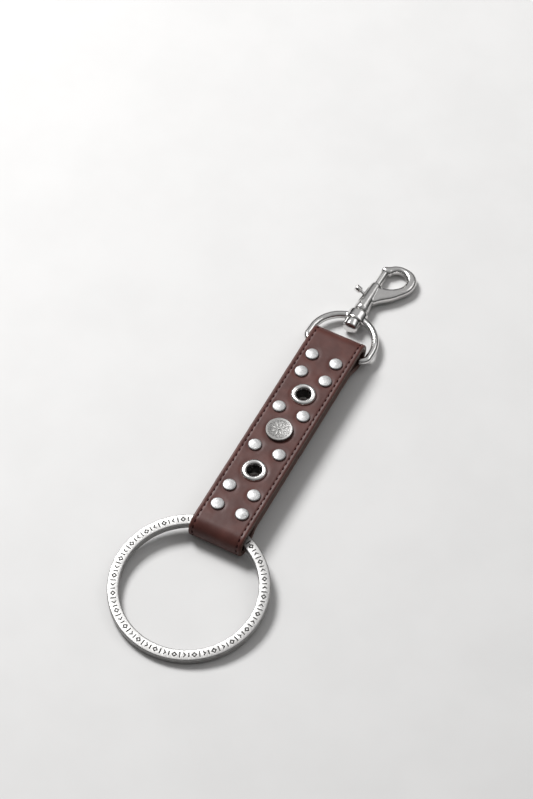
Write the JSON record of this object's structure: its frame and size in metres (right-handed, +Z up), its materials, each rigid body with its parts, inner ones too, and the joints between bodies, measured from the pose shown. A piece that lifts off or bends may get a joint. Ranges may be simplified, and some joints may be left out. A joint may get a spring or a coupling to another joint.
{
  "type": "split ring key fob",
  "caption": "Studded leather strap key fob with a large flat split ring at one end and a swivel trigger snap at the other.",
  "frame": {"origin": "on the surface that the fob lies on, under the middle of its box", "axes": "+Z up from that surface, +Y along the strap towards the snap, +X across the strap to the right"},
  "size_m": [0.0692, 0.231, 0.0137],
  "materials": {
    "brown_leather": "smooth semi-gloss reddish-brown leather",
    "leather_lining": "dark brown burnished edge and lining",
    "maroon_thread": "dark maroon waxed thread",
    "rivet_steel": "bright satin",
    "eyelet_nickel": "polished nickel",
    "antique_pewter": "antiqued pewter with dark recesses",
    "polished_nickel": "polished, slightly worn",
    "brushed_nickel": "brushed",
    "spring_steel": "drawn wire"
  },
  "bodies": {
    "strap": {"strap_face": "brown_leather", "strap_lining": "leather_lining", "stitch_left": "maroon_thread", "stitch_right": "maroon_thread", "rivet_cap_left_1": "rivet_steel", "rivet_cap_right_1": "rivet_steel", "rivet_cap_left_2": "rivet_steel", "rivet_cap_right_2": "rivet_steel", "rivet_cap_left_3": "rivet_steel", "rivet_cap_right_3": "rivet_steel", "rivet_cap_left_4": "rivet_steel", "rivet_cap_right_4": "rivet_steel", "rivet_cap_left_5": "rivet_steel", "rivet_cap_right_5": "rivet_steel", "rivet_cap_left_6": "rivet_steel", "rivet_cap_right_6": "rivet_steel", "rivet_post_left_1": "rivet_steel", "rivet_post_right_1": "rivet_steel", "rivet_post_left_2": "rivet_steel", "rivet_post_right_2": "rivet_steel", "rivet_post_left_3": "rivet_steel", "rivet_post_right_3": "rivet_steel", "rivet_post_left_4": "rivet_steel", "rivet_post_right_4": "rivet_steel", "rivet_post_left_5": "rivet_steel", "rivet_post_right_5": "rivet_steel", "rivet_post_left_6": "rivet_steel", "rivet_post_right_6": "rivet_steel", "eyelet_upper": "eyelet_nickel", "eyelet_lower": "eyelet_nickel", "eyelet_washer_upper": "eyelet_nickel", "eyelet_washer_lower": "eyelet_nickel", "emblem_cap": "antique_pewter", "emblem_base": "polished_nickel"},
    "ring": {"split_ring": "antique_pewter"},
    "bow": {"swivel_bow": "polished_nickel", "swivel_washer": "brushed_nickel"},
    "snap": {"snap_body": "brushed_nickel", "swivel_pin": "polished_nickel", "bolt_spring": "spring_steel"},
    "bolt": {"bolt": "brushed_nickel", "thumb_knob": "polished_nickel"}
  },
  "joints": [
    {"name": "ring_turn", "type": "hinge", "parent": "strap", "child": "ring", "pos_m": [0.0008, -0.08081, 0.00427], "axis": [0, -0.0714, 0.9974], "continuous": true},
    {"name": "bow_hinge", "type": "hinge", "parent": "strap", "child": "bow", "pos_m": [0, 0.05793, 0.0049], "axis": [1, 0, 0], "range_deg": [-120, 120]},
    {"name": "snap_swivel", "type": "hinge", "parent": "bow", "child": "snap", "pos_m": [0, 0.07991, 0.00391], "axis": [0, 0.999, -0.0452], "continuous": true},
    {"name": "bolt_slide", "type": "slide", "parent": "snap", "child": "bolt", "axis": [0, -0.999, 0.0452], "range_m": [0, 0.004], "stiffness_N_per_m": 400, "springref_m": -0.0015, "deforming": ["bolt_spring"]}
  ]
}
